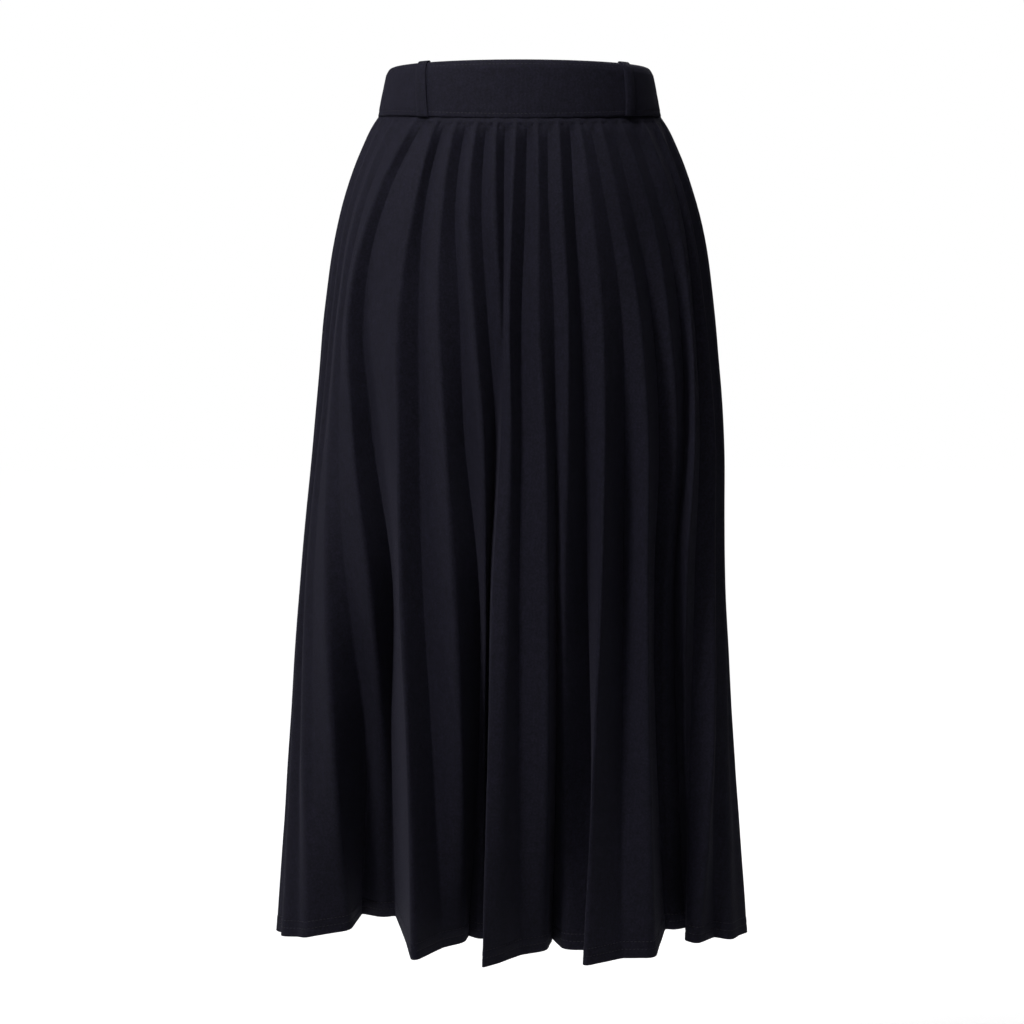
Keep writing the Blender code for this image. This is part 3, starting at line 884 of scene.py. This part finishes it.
class SKIRT_OT_belt_loops(bpy.types.Operator):
    """Makes the four belt loops, from the waist seam over the band's top edge"""

    bl_idname = "skirt.belt_loops"
    bl_label = "Belt loops"

    rows = 34
    places = 6

    def execute(self, context):
        settings = context.scene.skirt_cloth
        half_turn = math.degrees(settings.loop_width * 2 / (BAND_TOP_WIDTH + BAND_TOP_DEPTH))
        ups = column(LOOP_PATH, LOOP_PATH_COLUMNS, "up")
        outs = column(LOOP_PATH, LOOP_PATH_COLUMNS, "out")
        knots = np.arange(len(LOOP_PATH), dtype=float)
        for where, angle_at_top, angle_at_seam in LOOPS:
            grid, cloth = [], []
            for r in range(self.rows + 1):
                at = (1 - r / self.rows) * knots[-1]
                up, out = float(smooth_read(at, knots, ups)), float(smooth_read(at, knots, outs)) / 1000
                angle = angle_at_seam + (angle_at_top - angle_at_seam) * up
                line, flat = [], []
                for c in range(self.places + 1):
                    side = 2 * c / self.places - 1
                    turn = angle + side * half_turn
                    curl = LOOP_CURL * side * side * min(1.0, abs(out) / LOOP_CURL_WHOLE_AT)
                    curl *= 1 if out > LOOP_TURNS_OVER_AT else -1
                    line.append(band_point(turn, up, BAND_THICK / 2 + out - curl))
                    flat.append((side * settings.loop_width / 2, -r / self.rows * LOOP_LENGTH))
                grid.append(line)
                cloth.append(flat)
            piece = cloth_grid_mesh(f"cloth_belt_loop_{where}", grid, cloth)
            give_thickness(piece, LOOP_THICK)
            dress(piece, knit_cloth(context.scene.skirt_knit))
            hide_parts(f"belt_loop_{where}")
        return {"FINISHED"}


def thread_bead(settings):
    """One stitch: a small rounded bead of thread lying along Z."""
    bm = bmesh.new()
    bmesh.ops.create_uvsphere(bm, u_segments=6, v_segments=5, radius=0.5)
    size = (settings.thread, settings.thread * THREAD_FLATNESS, settings.stitch_length)
    bmesh.ops.scale(bm, vec=size, verts=bm.verts)
    bead = bpy.data.meshes.new("thread bead")
    bm.to_mesh(bead)
    bm.free()
    return bead


def sew(bm, line, normals, settings, closed=True):
    """Adds stitches along a line of points, each a bead of thread half sunk in the cloth."""
    line, normals = np.asarray(line), np.asarray(normals)
    if closed:
        line, normals = np.vstack([line, line[:1]]), np.vstack([normals, normals[:1]])
    steps = np.linalg.norm(np.diff(line, axis=0), axis=1)
    lengths = np.concatenate([[0.0], np.cumsum(steps)])
    count = int(lengths[-1] // settings.stitch_pitch)
    starts = (np.arange(count) + 0.5) * lengths[-1] / count - settings.stitch_length / 2
    first, last, outs = (
        np.stack([np.interp(at, lengths, values[:, k]) for k in range(3)], axis=1)
        for at, values in ((starts, line), (starts + settings.stitch_length, line), (starts, normals))
    )
    bead = thread_bead(settings)
    for start, end, normal in zip(first, last, outs):
        ahead = Vector(end - start).normalized()
        out = Vector(normal)
        out = (out - ahead * out.dot(ahead)).normalized()
        turn = Matrix((ahead.cross(out), out, ahead)).transposed().to_4x4()
        middle = Vector((start + end) / 2) + out * settings.thread * STITCH_STANDS_OUT
        place = Matrix.Translation(middle) @ turn
        bead.transform(place)
        bm.from_mesh(bead)
        bead.transform(place.inverted())
    bpy.data.meshes.remove(bead)


class SKIRT_OT_band_stitching(bpy.types.Operator):
    """Sews the two rows of stitches round the waistband"""

    bl_idname = "skirt.band_stitching"
    bl_label = "Waistband stitching"

    around = 360

    def execute(self, context):
        bm = bmesh.new()
        for row, inset in BAND_STITCH_ROWS.items():
            line, normals = [], []
            for i in range(self.around):
                angle = 360 * i / self.around - 180
                height = BAND_TOP - seam_z(angle)
                up = 1 - inset / height if row == "top" else inset / height
                out = band_surface(angle, up)
                point = band_point(angle, up, out)
                line.append(point)
                normals.append(band_point(angle, up, out + 0.01) - point)
            sew(bm, line, normals, context.scene.skirt_cloth)
        piece = finished_piece("waistband_stitches", bm)
        dress(piece, sewing_thread(context.scene.skirt_knit))
        return {"FINISHED"}


class SKIRT_OT_hem_stitching(bpy.types.Operator):
    """Sews the two rows of stitches above the hem of each panel"""

    bl_idname = "skirt.hem_stitching"
    bl_label = "Hem stitching"

    def execute(self, context):
        settings = context.scene.skirt_cloth
        for panel in ("front", "back"):
            bm = bmesh.new()
            for rise in settings.hem_rows:
                points, out, lengths, seams = cloth_row(LEVEL_DROPS["hem"] - rise, settings)
                span = panel_span(panel, len(points), seams)[1:-1]
                normals = [(*out[i % len(points)], 0.0) for i in span]
                line = [
                    points[i % len(points)] + np.array(n) * settings.hem_thickness * 0.5
                    for i, n in zip(span, normals)
                ]
                sew(bm, line, normals, settings, closed=False)
            piece = finished_piece(f"hem_stitches_{panel}", bm)
            dress(piece, sewing_thread(context.scene.skirt_knit))
        return {"FINISHED"}


class SKIRT_OT_studio(bpy.types.Operator):
    """Makes the pale floor, the soft lights and the camera"""

    bl_idname = "skirt.studio"
    bl_label = "Studio"

    def execute(self, context):
        settings = context.scene.skirt_studio
        self.camera(context)
        self.floor(settings)
        self.air(context, settings)
        for name, place, aim, size, power in LIGHTS:
            self.light(name, place, aim, size, getattr(settings, power))
        context.scene.view_settings.view_transform = "Standard"
        return {"FINISHED"}

    def camera(self, context):
        data = bpy.data.cameras.new("camera")
        data.sensor_width = 36.0
        data.lens = CAMERA_LENS
        data.clip_end = 60.0
        camera = bpy.data.objects.new("camera", data)
        camera.location = CAMERA_PLACE
        camera.rotation_euler = (math.radians(90 - CAMERA_TILT), 0.0, 0.0)
        context.scene.collection.objects.link(camera)
        context.scene.camera = camera

    def light(self, name, place, aim, size, power):
        data = bpy.data.lights.new(name, "AREA")
        data.shape = "DISK"
        data.size = size
        data.energy = power
        lamp = bpy.data.objects.new(name, data)
        lamp.location = place
        lamp.rotation_euler = (Vector(aim) - Vector(place)).to_track_quat("-Z", "Y").to_euler()
        bpy.context.scene.collection.objects.link(lamp)

    def floor(self, settings):
        bm = bmesh.new()
        bmesh.ops.create_circle(bm, cap_ends=True, segments=96, radius=FLOOR_RADIUS)
        bmesh.ops.translate(bm, verts=bm.verts, vec=(0.0, 0.0, settings.floor_z))
        piece = finished_piece("pale_floor", bm)
        material, shader = new_material("pale_paper", (0.86, 0.86, 0.86))
        tree = material.node_tree
        place = tree.nodes.new("ShaderNodeTexCoord")
        tooth = grain(tree, place.outputs["Object"], 30.0, 2.0)
        paper = blended(tree, tooth, (0.84, 0.84, 0.845, 1.0), (0.88, 0.88, 0.885, 1.0))
        tree.links.new(paper, shader.inputs["Base Color"])
        shader.inputs["Roughness"].default_value = 0.9
        away = tree.nodes.new("ShaderNodeVectorMath")
        away.operation = "LENGTH"
        flat = tree.nodes.new("ShaderNodeVectorMath")
        flat.operation = "MULTIPLY"
        flat.inputs[1].default_value = (1.0, 1.0, 0.0)
        tree.links.new(place.outputs["Object"], flat.inputs[0])
        tree.links.new(flat.outputs[0], away.inputs[0])
        fade = tree.nodes.new("ShaderNodeMapRange")
        fade.interpolation_type = "SMOOTHSTEP"
        for label, value in FLOOR_GLOW.items():
            fade.inputs[label].default_value = value
        tree.links.new(away.outputs["Value"], fade.inputs["Value"])
        glow, seen = tree.nodes.new("ShaderNodeEmission"), tree.nodes.new("ShaderNodeLightPath")
        add = tree.nodes.new("ShaderNodeAddShader")
        tree.links.new(maths(tree, "MULTIPLY", fade.outputs["Result"], seen.outputs["Is Camera Ray"]),
                       glow.inputs["Strength"])
        tree.links.new(shader.outputs[0], add.inputs[0])
        tree.links.new(glow.outputs[0], add.inputs[1])
        tree.links.new(add.outputs[0], tree.nodes["Material Output"].inputs["Surface"])
        piece.data.materials.append(material)

    def air(self, context, settings):
        world = bpy.data.worlds.new("pale air")
        context.scene.world = world
        world.use_nodes = True
        tree = world.node_tree
        seen, lit = tree.nodes["Background"], tree.nodes.new("ShaderNodeBackground")
        seen.inputs["Color"].default_value = (1.0, 1.0, 1.0, 1.0)
        seen.inputs["Strength"].default_value = 1.0
        lit.inputs["Color"].default_value = (0.96, 0.97, 1.0, 1.0)
        lit.inputs["Strength"].default_value = settings.air
        path, mix = tree.nodes.new("ShaderNodeLightPath"), tree.nodes.new("ShaderNodeMixShader")
        tree.links.new(path.outputs["Is Camera Ray"], mix.inputs["Fac"])
        tree.links.new(lit.outputs[0], mix.inputs[1])
        tree.links.new(seen.outputs[0], mix.inputs[2])
        tree.links.new(mix.outputs[0], tree.nodes["World Output"].inputs["Surface"])


STEPS = (
    SKIRT_OT_front_panel,
    SKIRT_OT_back_panel,
    SKIRT_OT_waistband,
    SKIRT_OT_belt_loops,
    SKIRT_OT_band_stitching,
    SKIRT_OT_hem_stitching,
    SKIRT_OT_studio,
)


class SKIRT_PT_panel(bpy.types.Panel):
    """The skirt's settings and steps, in the 3D view's sidebar"""

    bl_idname = "SKIRT_PT_panel"
    bl_label = "Pleated Midi Skirt"
    bl_space_type = "VIEW_3D"
    bl_region_type = "UI"
    bl_category = "Skirt"

    def draw(self, context):
        for group in ("skirt_cloth", "skirt_knit", "skirt_studio"):
            settings = getattr(context.scene, group)
            box = self.layout.box()
            for name in settings.__annotations__:
                box.prop(settings, name)
        for step in STEPS:
            self.layout.operator(step.bl_idname)


CLASSES = (SkirtClothSettings, SkirtKnitSettings, SkirtStudioSettings, *STEPS, SKIRT_PT_panel)


def register():
    for cls in CLASSES:
        bpy.utils.register_class(cls)
    bpy.types.Scene.skirt_cloth = PointerProperty(type=SkirtClothSettings)
    bpy.types.Scene.skirt_knit = PointerProperty(type=SkirtKnitSettings)
    bpy.types.Scene.skirt_studio = PointerProperty(type=SkirtStudioSettings)


def unregister():
    del bpy.types.Scene.skirt_studio, bpy.types.Scene.skirt_knit, bpy.types.Scene.skirt_cloth
    for cls in reversed(CLASSES):
        bpy.utils.unregister_class(cls)


def main():
    """Makes the whole skirt and its studio."""
    register()
    bpy.ops.skirt.front_panel()
    bpy.ops.skirt.back_panel()
    bpy.ops.skirt.waistband()
    bpy.ops.skirt.belt_loops()
    bpy.ops.skirt.band_stitching()
    bpy.ops.skirt.hem_stitching()
    bpy.ops.skirt.studio()


if __name__ == "__main__":
    main()
